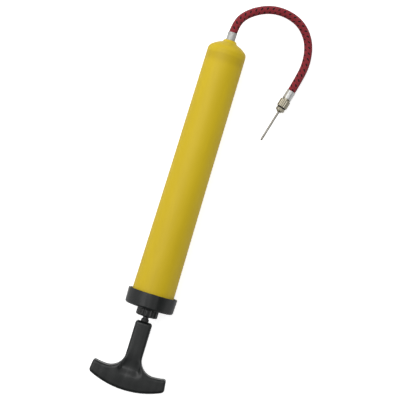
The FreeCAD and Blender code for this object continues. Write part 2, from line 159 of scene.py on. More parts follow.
class PumpSizes(PropertyGroup):
    """Sizes of the pump's hard pieces that their frame nodes don't give."""

    foot_radius: length("Foot radius", "Barrel's radius where it leaves the end cap", 0.01795)
    middle_radius: length("Middle radius", "Barrel's radius half way along", 0.01695)
    nose_radius: length("Nose radius", "Barrel's radius at the shoulder of its nose", 0.01645)
    bore_radius: length("Bore radius", "Inside radius of the barrel", 0.0150)
    boss_gap: length("Boss gap", "How far the ferrule reaches down over the barrel's boss", 0.0010)
    ferrule_cut: length("Ferrule cut", "How much shorter the nose's ferrule is than its frame node", 0.0020)
    cap_edge: length("Cap edge", "Radius of the end cap's rounded edge", 0.0020)
    gland_flutes: count_of("Gland flutes", "Flutes round the gland nut", 12)
    flute_depth: length("Flute depth", "Depth of the gland nut's flutes", 0.0008)
    handle_edge: length("Handle edge", "Radius of the handle's rounded edges", 0.0023)
    trough_depth: length("Trough depth", "How far the shank dips where it meets the bar", 0.0013)
    ferrule_flats: count_of("Ferrule flats", "Sides crimped on a ferrule", 8)
    socket_flutes: count_of("Socket flutes", "Flutes round the socket", 14)
    thread_pitch: length("Thread pitch", "Pitch of the needle's thread", 0.0008)


class HoseSizes(PropertyGroup):
    """The hose and its woven cover."""

    radius: length("Radius", "Outside radius of the hose", 0.0035)
    yarns: count_of("Yarns", "Yarns that wind each way in the cover", 12)
    lead: length("Lead", "Length of hose in which a yarn winds round once", 0.0195)
    relief: length("Relief", "Height of a yarn over the gaps between yarns", 0.00022)
    fleck_every: count_of("Fleck every", "One yarn in so many is black", 3)
    row_angle: angle("Row angle", "How far the rows of flecks are turned from the top", -34.5)


class PumpColours(PropertyGroup):
    """Colours of the finishes."""

    yellow: colour("Yellow", "Barrel", (0.700, 0.505, 0.010))
    # Darker yellow for random patches, and for painted shade below the nose's shoulder and towards the foot
    tone_and_shade_yellow: colour("Deep yellow", "Barrel where the moulding is thicker", (0.605, 0.425, 0.007))
    black: colour("Black", "Moulded black pieces", (0.0068, 0.0084, 0.0084))
    rubbed_black: colour("Rubbed black", "Worn edges of the black pieces", (0.050, 0.052, 0.051))
    rubber: colour("Rubber", "Seals and the stop bumper", (0.014, 0.014, 0.014))
    red: colour("Red", "Yarns of the hose's cover", (0.325, 0.023, 0.034))
    fleck: colour("Fleck", "Black yarns of the hose's cover", (0.0035, 0.003, 0.003))
    aluminium: colour("Aluminium", "Ferrules", (0.680, 0.685, 0.670))
    nickel: colour("Nickel", "Plated socket and hub", (0.420, 0.390, 0.305))
    needle: colour("Needle", "Drawn steel needle", (0.330, 0.315, 0.280))
    rod: colour("Rod", "Blackened plunger rod", (0.014, 0.014, 0.015))


class StageSizes(PropertyGroup):
    """Camera and light."""

    camera_height: length("Camera height", "Height of the camera above the floor", 1.15)
    camera_turn: angle("Camera turn", "How far the picture's upright is turned from the pump's", 16.97)
    camera_shift: FloatVectorProperty(
        name="Camera shift", description="From the middle of the pump to the point under the camera",
        default=(-0.0041, -0.0027), size=2, subtype="XYZ", unit="LENGTH",
    )
    lens: plain("Lens", "Focal length in millimetres", 121.8)
    key_power: power("Key power", "Wide lamp on the left", 10.5)
    fill_power: power("Fill power", "Low lamp on the right", 1)
    sky: plain("Sky", "Strength of the even light from all round", 0.77)
    dark_side: plain("Dark side", "Strength of the sky on the right", 0.06)
    floor_glow: plain("Floor glow", "How bright the floor is seen beyond its light", 0.7)


def sizes():
    return bpy.context.scene.pump_sizes


def hose_sizes():
    return bpy.context.scene.hose_sizes


def colours():
    return bpy.context.scene.pump_colours


# ---- Shapes ----


def arc(start, middle, end, segments):
    """Points of the arc through three points, after its start."""
    b = middle - start
    c = end - start
    d = 2 * b.cross(c)
    across = Vector((c.y * b.dot(b) - b.y * c.dot(c), b.x * c.dot(c) - c.x * b.dot(b)))
    centre = start + across / d
    radius = (start - centre).length
    first = math.atan2(start.y - centre.y, start.x - centre.x)
    sweep = (math.atan2(end.y - centre.y, end.x - centre.x) - first) % (2 * math.pi)
    if d < 0:
        sweep -= 2 * math.pi
    angles = [first + sweep * (step + 1) / segments for step in range(segments)]
    return [centre + radius * Vector((math.cos(angle), math.sin(angle))) for angle in angles]


def outline(start, *steps, segments=8):
    """Points of a section. A step is a point, or an arc's middle, its end and, if it matters, segments."""
    points = [Vector(start)]
    for step in steps:
        if isinstance(step[0], tuple):
            count = step[2] if len(step) > 2 else segments
            points += arc(points[-1], Vector(step[0]), Vector(step[1]), count)
        else:
            points.append(Vector(step))
    return points


def rows(radius, start, end, count):
    """Evenly spaced points along a straight side, both ends left out."""
    return [(radius, start + (end - start) * (row + 1) / (count + 1)) for row in range(count)]


def off_axis(vert):
    """A vertex's distance from its bench's axis."""
    return math.hypot(vert.co.x, vert.co.z)


def round_axis(vert):
    """A vertex's angle round its bench's axis, from straight up."""
    return math.atan2(vert.co.x, vert.co.z)


def turned(section, steps):
    """A mesh made by turning a section of (radius, station) points round the axis."""
    bm = bmesh.new()
    verts = [bm.verts.new((point[0], point[1], 0)) for point in section]
    pairs = list(zip(verts, verts[1:]))
    if section[0][0] > 0:
        pairs.append((verts[-1], verts[0]))
    edges = [bm.edges.new(pair) for pair in pairs]
    bmesh.ops.spin(
        bm, geom=verts + edges, cent=(0, 0, 0), axis=(0, 1, 0), angle=2 * math.pi, steps=steps, use_merge=True
    )
    bmesh.ops.remove_doubles(bm, verts=bm.verts, dist=WELD)
    bmesh.ops.recalc_face_normals(bm, faces=bm.faces)
    return bm


def soften(bm, offset, segments=3, sharper_than=math.radians(28), chosen=None):
    """Rounds the sharp edges, or those of them that chosen() picks."""
    edges = []
    for edge in bm.edges:
        sharp = len(edge.link_faces) == 2 and edge.calc_face_angle() > sharper_than
        if sharp and (chosen is None or chosen(edge)):
            edges.append(edge)
    bmesh.ops.bevel(
        bm, geom=edges, offset=offset, offset_type="OFFSET", segments=segments, profile=0.5,
        affect="EDGES", material=-1, clamp_overlap=True, loop_slide=True,
    )


def extruded(bm, face):
    """Extrudes a face, and gives the vertices of the new one."""
    made = bmesh.ops.extrude_face_region(bm, geom=[face])
    return [item for item in made["geom"] if isinstance(item, bmesh.types.BMVert)]


def set_radius(vert, radius):
    """Moves a vertex straight out from the axis, or in towards it."""
    scale = radius / off_axis(vert)
    vert.co.x *= scale
    vert.co.z *= scale


def press_flutes(bm, count, outer, inner, depth, start, end, narrowness=2.0):
    """Presses flutes into a turned side. They fade out towards the inner radius on its ends."""
    for vert in bm.verts:
        radius = off_axis(vert)
        if radius <= inner or not start - WELD <= vert.co.y <= end + WELD:
            continue
        wave = (1 - math.cos(count * round_axis(vert))) / 2
        share = min(1.0, (radius - inner) / (outer - inner))
        set_radius(vert, radius - depth * share * wave**narrowness)


def press_flats(bm, count, apothem, start, end):
    """Flattens a turned side to a regular shape with this many sides."""
    step = 2 * math.pi / count
    for vert in bm.verts:
        if not start - WELD <= vert.co.y <= end + WELD:
            continue
        flat = apothem / math.cos((round_axis(vert) + step / 2) % step - step / 2)
        if off_axis(vert) > flat:
            set_radius(vert, flat)


def new_piece(name, bm, place, finish, body, node):
    """Makes a mesh that was drawn on a bench the piece that stands for this node."""
    bmesh.ops.transform(bm, matrix=place, verts=bm.verts)
    bmesh.ops.recalc_face_normals(bm, faces=bm.faces)
    mesh = bpy.data.meshes.new(name)
    bm.to_mesh(mesh)
    bm.free()
    mesh.shade_smooth()
    mesh.set_sharp_from_angle(angle=SHARP_ANGLE)
    mesh.materials.append(finish_of(finish))
    piece = bpy.data.objects.new(name, mesh)
    bpy.context.scene.collection.objects.link(piece)
    weights = piece.modifiers.new("Face weights", "WEIGHTED_NORMAL")
    weights.keep_sharp = True
    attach(piece, body)
    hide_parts(node)
    return piece


# ---- Shader helpers and groups ----


def add(tree, kind, inputs=None, **settings):
    """Adds a shader node. An input is a value, or the socket that feeds it."""
    node = tree.nodes.new("ShaderNode" + kind)
    for key, value in settings.items():
        setattr(node, key, value)
    for key, value in (inputs or {}).items():
        if isinstance(value, NodeSocket):
            tree.links.new(value, node.inputs[key])
        else:
            node.inputs[key].default_value = value
    return node


def maths(tree, operation, *values, clamp=False):
    """The result of one Math node."""
    node = add(tree, "Math", dict(enumerate(values)), operation=operation, use_clamp=clamp)
    return node.outputs[0]


def times(tree, first, second):
    return maths(tree, "MULTIPLY", first, second)


def plus(tree, first, second, clamp=False):
    return maths(tree, "ADD", first, second, clamp=clamp)


def less(tree, first, second):
    return maths(tree, "SUBTRACT", first, second)


def vector_maths(tree, operation, first, second):
    """The node of one Vector Math operation on a socket and a constant."""
    return add(tree, "VectorMath", {0: first, 1: second}, operation=operation).outputs


def span(tree, value, low, high, to_low=0.0, to_high=1.0):
    """A value's place between low and high, as a smooth step."""
    inputs = {"Value": value, "From Min": low, "From Max": high, "To Min": to_low, "To Max": to_high}
    return add(tree, "MapRange", inputs, interpolation_type="SMOOTHSTEP").outputs["Result"]


def mixed(tree, share, first, second):
    """Two colours mixed by a share of the second."""
    node = add(tree, "Mix", data_type="RGBA")
    for socket, value in ((0, share), (6, first), (7, second)):
        if isinstance(value, NodeSocket):
            tree.links.new(value, node.inputs[socket])
        else:
            node.inputs[socket].default_value = value if socket == 0 else (*value, 1)
    return node.outputs[2]


def noise(tree, vector, scale, detail=2.0, roughness=0.5, distortion=0.0):
    inputs = {"Vector": vector, "Scale": scale, "Detail": detail}
    inputs.update({"Roughness": roughness, "Distortion": distortion})
    return add(tree, "TexNoise", inputs).outputs["Fac"]


def feed(tree, sockets, **values):
    """Links values to sockets. Underscores in the sockets' names stand for spaces."""
    for name, value in values.items():
        tree.links.new(value, sockets[name.replace("_", " ")])


def new_group(name, inputs, outputs):
    """A shader group with named sockets. An input is (name, kind, default)."""
    tree = bpy.data.node_groups.new(name, "ShaderNodeTree")
    for socket_name, kind, default in inputs:
        socket = tree.interface.new_socket(socket_name, in_out="INPUT", socket_type=kind)
        if default is not None:
            socket.default_value = default
    for socket_name in outputs:
        tree.interface.new_socket(socket_name, in_out="OUTPUT", socket_type="NodeSocketFloat")
    start = tree.nodes.new("NodeGroupInput")
    end = tree.nodes.new("NodeGroupOutput")
    return tree, start.outputs, end.inputs


FLOAT = "NodeSocketFloat"
VECTOR = "NodeSocketVector"


def moulded_group():
    """Fine grain, slow waves and patches in a moulded surface, and smudges from hands."""
    tree, given, result = new_group(
        "Moulded surface",
        [("Vector", VECTOR, None), ("Grain Scale", FLOAT, 2500.0), ("Flow Scale", FLOAT, 60.0)],
        ["Grain", "Flow", "Patches", "Smudges", "Specks"],
    )
    along = vector_maths(tree, "MULTIPLY", given["Vector"], (1.0, 0.22, 1.0))["Vector"]
    patches = noise(tree, along, times(tree, given["Flow Scale"], 1.7), 4.0, 0.6, 0.4)
    smudges = noise(tree, given["Vector"], 95.0, 5.0, 0.68, 1.2)
    specks = noise(tree, given["Vector"], 900.0, 1.0, 0.5)
    feed(
        tree, result,
        Grain=noise(tree, given["Vector"], given["Grain Scale"], 3.0, 0.6),
        Flow=noise(tree, along, given["Flow Scale"], 1.5, 0.45, 0.3),
        Patches=span(tree, patches, 0.32, 0.68),
        Smudges=span(tree, smudges, 0.52, 0.72),
        Specks=span(tree, specks, 0.735, 0.78),
    )
    return tree


def edge_group():
    """How far an edge is rubbed bright, and how much painted shade the concave places get."""
    tree, given, result = new_group(
        "Edges and hollows",
        [
            ("Vector", VECTOR, None), ("Rub Scale", FLOAT, 400.0),
            ("Edge Start", FLOAT, 0.52), ("Edge End", FLOAT, 0.60),
        ],
        ["Edge", "Hollow"],
    )
    point = add(tree, "NewGeometry").outputs["Pointiness"]
    edge = span(tree, point, given["Edge Start"], given["Edge End"])
    rub = span(tree, noise(tree, given["Vector"], given["Rub Scale"], 4.0, 0.7), 0.35, 0.62)
    # Hollow shade is painted shade in concave places, found from pointiness.
    feed(tree, result, Edge=times(tree, edge, rub), Hollow=span(tree, point, 0.49, 0.42))
    return tree


def turned_group():
    """Tool marks that run round a turned or drawn piece, and fine scratches along it."""
    tree, given, result = new_group(
        "Turned metal",
        [("Vector", VECTOR, None), ("Mark Scale", FLOAT, 4000.0)],
        ["Marks", "Scratches", "Tarnish"],
    )
    rings = vector_maths(tree, "MULTIPLY", given["Vector"], (0.03, 1.0, 0.03))["Vector"]
    lines = vector_maths(tree, "MULTIPLY", given["Vector"], (1.0, 0.02, 1.0))["Vector"]
    tarnish = noise(tree, given["Vector"], 420.0, 5.0, 0.65, 0.6)
    feed(
        tree, result,
        Marks=noise(tree, rings, given["Mark Scale"], 3.0, 0.6),
        Scratches=span(tree, noise(tree, lines, 6000.0, 2.0, 0.6), 0.55, 0.75),
        Tarnish=span(tree, tarnish, 0.4, 0.7),
    )
    return tree


def braid_group():
    """The weave of the hose's cover, two over and two under, from turns round and leads along."""
    tree, given, result = new_group(
        "Braided cover",
        [("Vector", VECTOR, None), ("Yarns", FLOAT, 12.0), ("Fleck Every", FLOAT, 3.0)],
        ["Fleck", "Gap", "Fibre", "Shade"],
    )
    place = add(tree, "SeparateXYZ", {"Vector": given["Vector"]}).outputs
    left = times(tree, plus(tree, place["X"], place["Y"]), given["Yarns"])
    right = times(tree, less(tree, place["X"], place["Y"]), given["Yarns"])
    left_yarn = maths(tree, "FLOOR", left)
    right_yarn = maths(tree, "FLOOR", right)
    turn = maths(tree, "FLOORED_MODULO", plus(tree, left_yarn, right_yarn), 4.0)
    left_on_top = maths(tree, "LESS_THAN", turn, 1.5)
    left_share = maths(tree, "FRACT", left)
    right_share = maths(tree, "FRACT", right)
    # Across the yarn on top, from 0 at its middle to 1 at its side.
    swap = times(tree, left_on_top, less(tree, left_share, right_share))
    across = plus(tree, right_share, swap)
    side = maths(tree, "ABSOLUTE", less(tree, times(tree, across, 2.0), 1.0))
    black_yarn = maths(tree, "FLOORED_MODULO", left_yarn, given["Fleck Every"])
    black = maths(tree, "LESS_THAN", black_yarn, 0.5)
    # Each yarn is a bundle of fine threads.
    threads = times(tree, across, 2 * math.pi * THREADS)
    fuzz = noise(tree, given["Vector"], 40.0, 5.0, 0.7)
    feed(
        tree, result,
        Fleck=times(tree, left_on_top, black),
        # Painted shade at the sides of the yarn on top, in the gaps between yarns.
        Gap=span(tree, side, 0.62, 1.0),
        Fibre=maths(tree, "SINE", threads),
        Shade=span(tree, fuzz, 0.3, 0.7),
    )
    return tree


GROUPS = {}


def group(make):
    """A shader group, built the first time that it is asked for."""
    if make.__name__ not in GROUPS:
        GROUPS[make.__name__] = make()
    return GROUPS[make.__name__]


def use(tree, make, **inputs):
    """Places a group in a material. Underscores in the names of its inputs stand for spaces."""
    named = {key.replace("_", " "): value for key, value in inputs.items()}
    return add(tree, "Group", named, node_tree=group(make)).outputs


def moulded(tree, grain_scale, flow_scale):
    """The moulded surface group on the pump's bench."""
    point = on_bench(tree, PUMP)
    return use(tree, moulded_group, Vector=point, Grain_Scale=grain_scale, Flow_Scale=flow_scale)


def rubbed(tree, place, scale, start, end):
    """The edges and hollows group on a bench."""
    point = on_bench(tree, place)
    return use(tree, edge_group, Vector=point, Rub_Scale=scale, Edge_Start=start, Edge_End=end)


def new_material(name, **constants):
    """A material with a Principled shader, whose plain sockets are set from the names given."""
    material = bpy.data.materials.new(name)
    material.use_nodes = True
    shader = material.node_tree.nodes["Principled BSDF"]
    for socket, value in constants.items():
        shader.inputs[socket.replace("_", " ")].default_value = value
    return material, material.node_tree, shader.inputs


def on_bench(tree, place):
    """Object coordinates brought back to a bench, so that patterns follow the axis."""
    held = add(tree, "TexCoord").outputs["Object"]
    inputs = {"Vector": held, "Location": place.to_translation(), "Rotation": place.to_euler()}
    return add(tree, "Mapping", inputs, vector_type="TEXTURE").outputs["Vector"]


def bump(tree, height, distance, normal=None):
    inputs = {"Height": height, "Distance": distance}
    if normal is not None:
        inputs["Normal"] = normal
    return add(tree, "Bump", inputs).outputs["Normal"]


# ---- Finishes ----

MATERIALS = {}


def finish_of(make):
    """A material, built the first time that it is asked for."""
    if make.__name__ not in MATERIALS:
        MATERIALS[make.__name__] = make()
    return MATERIALS[make.__name__]


def barrel_plastic():
    """Yellow moulded plastic, satin, with slow waves left by cooling, darker patches at random, and painted
    shade below the shoulder and towards the foot.
    """
    material, tree, sockets = new_material("barrel_plastic", IOR=1.49, Specular_IOR_Level=0.32)
    surface = moulded(tree, 3600.0, 42.0)
    station = add(tree, "SeparateXYZ", {"Vector": on_bench(tree, PUMP)}).outputs["Y"]
    # Painted shade: a darker band just below the nose's shoulder, and darker towards the foot.
    shoulder_shade = times(tree, span(tree, station, 0.2105, 0.2180), span(tree, station, 0.2222, 0.2188))
    foot = times(tree, span(tree, station, 0.120, 0.006), 0.55)
    tone_and_shade = plus(tree, plus(tree, times(tree, surface["Patches"], 0.35), shoulder_shade), foot, clamp=True)
    rough = plus(tree, 0.42, times(tree, surface["Smudges"], 0.10))
    waves = bump(tree, surface["Flow"], 0.0004)
    feed(
        tree, sockets,
        Base_Color=mixed(tree, tone_and_shade, colours().yellow, colours().tone_and_shade_yellow),
        Roughness=plus(tree, rough, times(tree, surface["Grain"], 0.05)),
        Normal=bump(tree, surface["Grain"], 0.000025, waves),
    )
    return material


def black_plastic():
    """Black moulded plastic with a fine spark-eroded grain and rubbed edges."""
    material, tree, sockets = new_material("black_plastic", IOR=1.5, Specular_IOR_Level=0.42)
    surface = moulded(tree, 2300.0, 80.0)
    edges = rubbed(tree, PUMP, 350.0, 0.515, 0.60)
    rub = times(tree, edges["Edge"], 0.55)
    light = plus(tree, rub, times(tree, surface["Patches"], 0.12), clamp=True)
    light = plus(tree, light, times(tree, surface["Specks"], 0.35), clamp=True)
    rough = plus(tree, 0.28, times(tree, surface["Smudges"], 0.12))
    waves = bump(tree, surface["Flow"], 0.0011)
    feed(
        tree, sockets,
        Base_Color=mixed(tree, light, colours().black, colours().rubbed_black),
        Roughness=less(tree, rough, times(tree, rub, 0.12)),
        Normal=bump(tree, surface["Grain"], 0.00004, waves),
    )
    return material


def black_rubber():
    """Matt black rubber with a bloom on it."""
    material, tree, sockets = new_material("black_rubber", IOR=1.52)
    surface = moulded(tree, 4200.0, 260.0)
    bloom = times(tree, surface["Patches"], 0.35)
    feed(
        tree, sockets,
        Base_Color=mixed(tree, bloom, colours().rubber, colours().rubbed_black),
        Roughness=plus(tree, 0.62, times(tree, surface["Smudges"], 0.16)),
        Normal=bump(tree, surface["Grain"], 0.00006),
    )
    return material


def metal(name, base, dark, place, roughness, mark_scale, mark_height, hollow_shade=0.8):
    """A bare or plated metal with tool marks, tarnish and painted shade in its hollows."""
    material, tree, sockets = new_material(name, Metallic=1.0)
    marks = use(tree, turned_group, Vector=on_bench(tree, place), Mark_Scale=mark_scale)
    edges = rubbed(tree, place, 900.0, 0.53, 0.62)
    # Painted shade in the hollows, mixed with real tarnish, darkens the colour.
    tarnish_and_shade = times(tree, edges["Hollow"], hollow_shade)
    tarnish_and_shade = plus(tree, tarnish_and_shade, times(tree, marks["Tarnish"], 0.22), clamp=True)
    rough = plus(tree, roughness, times(tree, tarnish_and_shade, 0.25))
    rough = plus(tree, rough, times(tree, marks["Scratches"], 0.10))
    feed(
        tree, sockets,
        Base_Color=mixed(tree, tarnish_and_shade, base, dark),
        Roughness=less(tree, rough, times(tree, edges["Edge"], 0.08)),
        Normal=bump(tree, marks["Marks"], mark_height),
    )
    return material


def scaled(base, share):
    return tuple(channel * share for channel in base)


def ferrule_aluminium():
    """Bright aluminium, a little dull, with the marks of the crimping tool."""
    base = colours().aluminium
    return metal("ferrule_aluminium", base, scaled(base, 0.35), HOSE_END, 0.46, 2600.0, 0.00002)


def dull_shaded_aluminium():
    """The same aluminium, dulled by handling, with its colour darkened as painted shade."""
    # Painted shade: this ferrule's colour is darker than the other one's.
    base = scaled(colours().aluminium, 0.84)
    return metal("dull_shaded_aluminium", base, scaled(base, 0.45), PUMP, 0.58, 2600.0, 0.00002)


def nickel_plate():
    """Warm nickel plate, with painted shade between the flutes."""
    base = colours().nickel
    return metal("nickel_plate", base, scaled(base, 0.16), HOSE_END, 0.22, 5200.0, 0.00001, hollow_shade=1.0)


def needle_steel():
    """Drawn steel tube."""
    base = colours().needle
    return metal("needle_steel", base, scaled(base, 0.3), HOSE_END, 0.26, 5200.0, 0.000006)


def blackened_steel():
    """Steel rod with a black finish, wiped with oil."""
    material, tree, sockets = new_material("blackened_steel", Metallic=0.35, Coat_Roughness=0.18)
    marks = use(tree, turned_group, Vector=on_bench(tree, PUMP), Mark_Scale=2400.0)
    worn = times(tree, marks["Scratches"], 0.45)
    feed(
        tree, sockets,
        Base_Color=mixed(tree, worn, colours().rod, colours().rubbed_black),
        Roughness=plus(tree, 0.28, times(tree, marks["Tarnish"], 0.15)),
        Coat_Weight=times(tree, marks["Tarnish"], 0.4),
        Normal=bump(tree, marks["Marks"], 0.000008),
    )
    return material


def steel():
    """Zinc plated washers, nut and ball."""
    return metal("steel", (0.56, 0.56, 0.57), (0.20, 0.19, 0.17), PUMP, 0.30, 3000.0, 0.00001)


def spring_steel():
    """Drawn wire."""
    return metal("spring_steel", (0.50, 0.50, 0.52), (0.16, 0.15, 0.14), PUMP, 0.24, 9000.0, 0.000004)


def brass():
    """Turned brass."""
    return metal("brass", (0.72, 0.50, 0.19), (0.26, 0.16, 0.05), PUMP, 0.26, 3600.0, 0.00001)


def piston_nylon():
    """Natural nylon, slightly waxy, greased."""
    material, tree, sockets = new_material(
        "piston_nylon", IOR=1.53, Subsurface_Weight=0.15, Subsurface_Scale=0.002
    )
    surface = moulded(tree, 3000.0, 160.0)
    grease = times(tree, surface["Patches"], 0.5)
    feed(
        tree, sockets,
        Base_Color=mixed(tree, grease, (0.74, 0.72, 0.66), (0.58, 0.55, 0.47)),
        Roughness=less(tree, 0.48, times(tree, grease, 0.4)),
        Normal=bump(tree, surface["Grain"], 0.00003),
    )
    return material


def felt():
    """Oiled wool felt."""
    material, tree, sockets = new_material("felt", Sheen_Weight=0.5, Sheen_Roughness=0.4)
    hairs = noise(tree, on_bench(tree, PUMP), 5200.0, 6.0, 0.75, 2.5)
    share = span(tree, hairs, 0.35, 0.65)
    feed(
        tree, sockets,
        Base_Color=mixed(tree, share, (0.21, 0.18, 0.13), (0.52, 0.48, 0.40)),
        Roughness=plus(tree, 0.8, times(tree, hairs, 0.2)),
        Normal=bump(tree, hairs, 0.00012),
    )
    return material


def hose_braid():
    """Red woven cover with black flecks and painted shade in the gaps between yarns, from the hose's own map
    of turns and leads.
    """
    material, tree, sockets = new_material("hose_braid", Sheen_Weight=0.04, Sheen_Roughness=0.5, IOR=1.40)
    weave_map = add(tree, "UVMap", uv_map="weave").outputs["UV"]
    s = hose_sizes()
    weave = use(
        tree, braid_group, Vector=weave_map, Yarns=float(s.yarns), Fleck_Every=float(s.fleck_every)
    )
    red = mixed(tree, weave["Shade"], scaled(colours().red, 0.82), scaled(colours().red, 1.15))
    tone = mixed(tree, weave["Fleck"], red, colours().fleck)
    # Painted shade in the gaps between yarns.
    gap = times(tree, weave["Gap"], 0.75)
    feed(
        tree, sockets,
        Base_Color=mixed(tree, gap, tone, scaled(colours().red, 0.16)),
        Roughness=plus(tree, 0.62, times(tree, weave["Shade"], 0.2)),
        Normal=bump(tree, weave["Fibre"], 0.00003),
    )
    return material


# ---- Pieces ----


def smooth_step(low, high, value):
    share = min(1.0, max(0.0, (value - low) / (high - low)))
    return share * share * (3 - 2 * share)


def slope(radius, station, end_radius, end_station, count=12):
    """Evenly spaced points down a slope, after its start."""
    shares = [(row + 1) / count for row in range(count)]
    rise, run = end_radius - radius, end_station - station
    return [(radius + rise * share, station + run * share) for share in shares]


def barrel_section():
    """Outside of the barrel from its collar to its boss, then the bore and the valve's chamber."""
    s = sizes()
    collar, start, end = reach("barrel", PUMP)
    collar_end = 0.0089
    foot = 0.0095
    middle = 0.120
    shoulder = 0.2228
    bore_end = 0.2210
    chamber_start = 0.2218
    nipple_start = 0.2306
    thread, chamber, port = 0.0032, 0.0027, 0.0015
    boss_end = end - s.boss_gap
    section = outline(
        (s.bore_radius, start),
        (collar, start),
        (collar, collar_end),
        (s.foot_radius, foot),
        *slope(s.foot_radius, foot, s.middle_radius, middle),
        *slope(s.middle_radius, middle, s.nose_radius, shoulder),
    )
    section += outline(
        (s.nose_radius, shoulder),
        ((0.01585, 0.2256), (0.0142, 0.2274)),
        ((0.0110, 0.22965), (0.0076, 0.2312)),
        ((0.00655, 0.2318), (0.0058, 0.2326)),
        ((0.0053, 0.2336), (0.0044, boss_end)),
        (thread, boss_end),
        (thread, nipple_start),
        (chamber, nipple_start),
        (chamber, chamber_start),
        (port, chamber_start),
        (port, bore_end),
        (s.bore_radius, bore_end),
    )[1:]
    return section


def build_barrel():
    bm = turned(barrel_section(), 128)
    soften(bm, 0.0004, chosen=lambda edge: edge.verts[0].co.y > 0.2338 or edge.verts[0].co.y < 0.0100)
    new_piece("barrel_shell", bm, PUMP, barrel_plastic, "pump_body", "barrel")


def build_end_cap():
    s = sizes()
    rim, start, end = reach("end_cap", PUMP)
    face = rim - 0.00035
    corner = s.cap_edge * (1 - math.sqrt(0.5))
    section = outline(
        (0.0070, start + 0.0008),
        (0.0094, start + 0.0008),
        (0.0102, start),
        (face - s.cap_edge, start),
        ((face - corner, start + corner), (face, start + s.cap_edge)),
        (rim, end),
        (0.0196, end),
        (0.0196, 0.0100),
        (0.0190, 0.0100),
        (0.0190, 0.0030),
        (0.0095, 0.0030),
        (0.0095, 0.0080),
        (0.0032, 0.0080),
        (0.0032, 0.0065),
        (0.0070, 0.0065),
    )
    bm = turned(section, 128)
    soften(bm, 0.0005, chosen=lambda edge: edge.verts[0].co.y > end - WELD)
    soften(bm, 0.0002, 2, chosen=lambda edge: edge.verts[0].co.y < 0.001)
    new_piece("end_cap_shell", bm, PUMP, black_plastic, "pump_body", "end_cap")


def build_gland_nut():
    s = sizes()
    radius, start, end = reach("gland_nut", PUMP)
    bore = 0.0026
    section = outline((bore, start), (radius - 0.0008, start), (radius, start + 0.0008))
    section += rows(radius, start + 0.0008, 0, 4)
    section += outline((radius - 0.0003, 0), (0.0069, 0), (0.0069, end), (bore, end))
    bm = turned(section, s.gland_flutes * 12)
    soften(bm, 0.0005, 3, chosen=lambda edge: edge.verts[0].co.y < start + 0.001)
    press_flutes(bm, s.gland_flutes, radius, radius - 0.0022, s.flute_depth, start, 0, narrowness=2.6)
    new_piece("gland_knob", bm, PUMP, black_plastic, "pump_body", "gland_nut")


def handle_outline(half_width, top, bottom):
    """Front of the T handle. The arms' tips have sharp corners, which the rounding then takes."""
    side = 0.00705
    crotch_radius = 0.0130
    arm_top = -0.0540
    crotch = side + crotch_radius
    crotch_start = arm_top + crotch_radius
    bow = crotch_radius * math.sqrt(0.5)
    tip_top = (half_width - 0.0013, -0.0523)
    tip_bottom = (half_width, -0.0630)
    return outline(
        (-side, top),
        (side, top),
        (side, crotch_start),
        ((crotch - bow, crotch_start - bow), (crotch, arm_top)),
        ((crotch + 0.0056, arm_top + 0.00045), tip_top, 3),
        tip_bottom,
        ((0, bottom), (-tip_bottom[0], tip_bottom[1])),
        (-tip_top[0], tip_top[1]),
        ((-crotch - 0.0056, arm_top + 0.00045), (-crotch, arm_top), 3),
        ((bow - crotch, crotch_start - bow), (-side, crotch_start)),
        segments=14,
    )[:-1]


def handle_thickness(across, station, bar, shank):
    """Half the handle's thickness: a crowned shank that dips in a trough before the crowned bar."""
    s = sizes()
    across = abs(across)
    crown = 0.0007 * min(1.0, across / 0.00705) ** 2
    floor = shank - crown - s.trough_depth * smooth_step(-0.036, -0.0525, station)
    bar_height = bar - 0.0006 * (across / 0.0327) ** 2 - 0.0005 * smooth_step(-0.060, -0.0706, station)
    step = smooth_step(-0.0510, -0.0590, station)
    middle = floor + (bar_height - floor) * step
    rim = shank - crown + (bar_height - shank + crown) * smooth_step(-0.038, -0.0515, station)
    half_width = 0.0058 + 0.0030 * smooth_step(-0.042, -0.0535, station)
    inside = 1 - smooth_step(half_width - 0.0022, half_width + 0.0014, across)
    return rim + (middle - rim) * inside


def build_handle():
    s = sizes()
    points = on_its_bench("handle", PUMP)
    half_width = max(point.x for point in points)
    bar = max(point.z for point in points)
    top = max(point.y for point in points)
    bottom = min(point.y for point in points)
    bm = bmesh.new()
    front = [bm.verts.new((x, y, -bar)) for x, y in handle_outline(half_width, top, bottom)]
    face = bm.faces.new(front)
    bmesh.ops.translate(bm, verts=extruded(bm, face), vec=(0, 0, 2 * bar))
    bmesh.ops.recalc_face_normals(bm, faces=bm.faces)
    soften(bm, s.handle_edge, 5, sharper_than=math.radians(35))
    cuts = [((0.0017 * k, 0, 0), (1, 0, 0)) for k in range(-19, 20)]
    cuts += [((0, top - 0.0014 * k, 0), (0, 1, 0)) for k in range(1, 42)]
    cuts.append(((0, 0, 0), (0, 0, 1)))
    for point, normal in cuts:
        bmesh.ops.bisect_plane(
            bm, geom=bm.verts[:] + bm.edges[:] + bm.faces[:], dist=WELD, plane_co=point, plane_no=normal
        )
    for vert in bm.verts:
        vert.co.z *= handle_thickness(vert.co.x, vert.co.y, bar, 0.0062) / bar
    new_piece("t_handle", bm, PUMP, black_plastic, "plunger", "handle")


def build_rod():
    radius = 0.0025
    start, end = reach("plunger_rod", PUMP)[1:]
    shoulder = 0.203
    section = [(0, start), (radius, start)] + rows(radius, start, shoulder, 20)
    section += [(radius, shoulder), (0.0020, shoulder), (0.0020, end), (0, end)]
    bm = turned(section, 48)
    soften(bm, 0.0002, 2)
    new_piece("plunger_shaft", bm, PUMP, blackened_steel, "plunger", "plunger_rod")

    bumper, start, end = reach("stop_bumper", PUMP)
    section = outline(
        (radius, start), (bumper - 0.0003, start), (bumper, start + 0.0004),
        (bumper, end - 0.0009), (bumper - 0.0004, end - 0.0001), (radius, end),
    )
    bm = turned(section, 48)
    soften(bm, 0.00015, 2)
    new_piece("bumper_ring", bm, PUMP, black_rubber, "plunger", "stop_bumper")


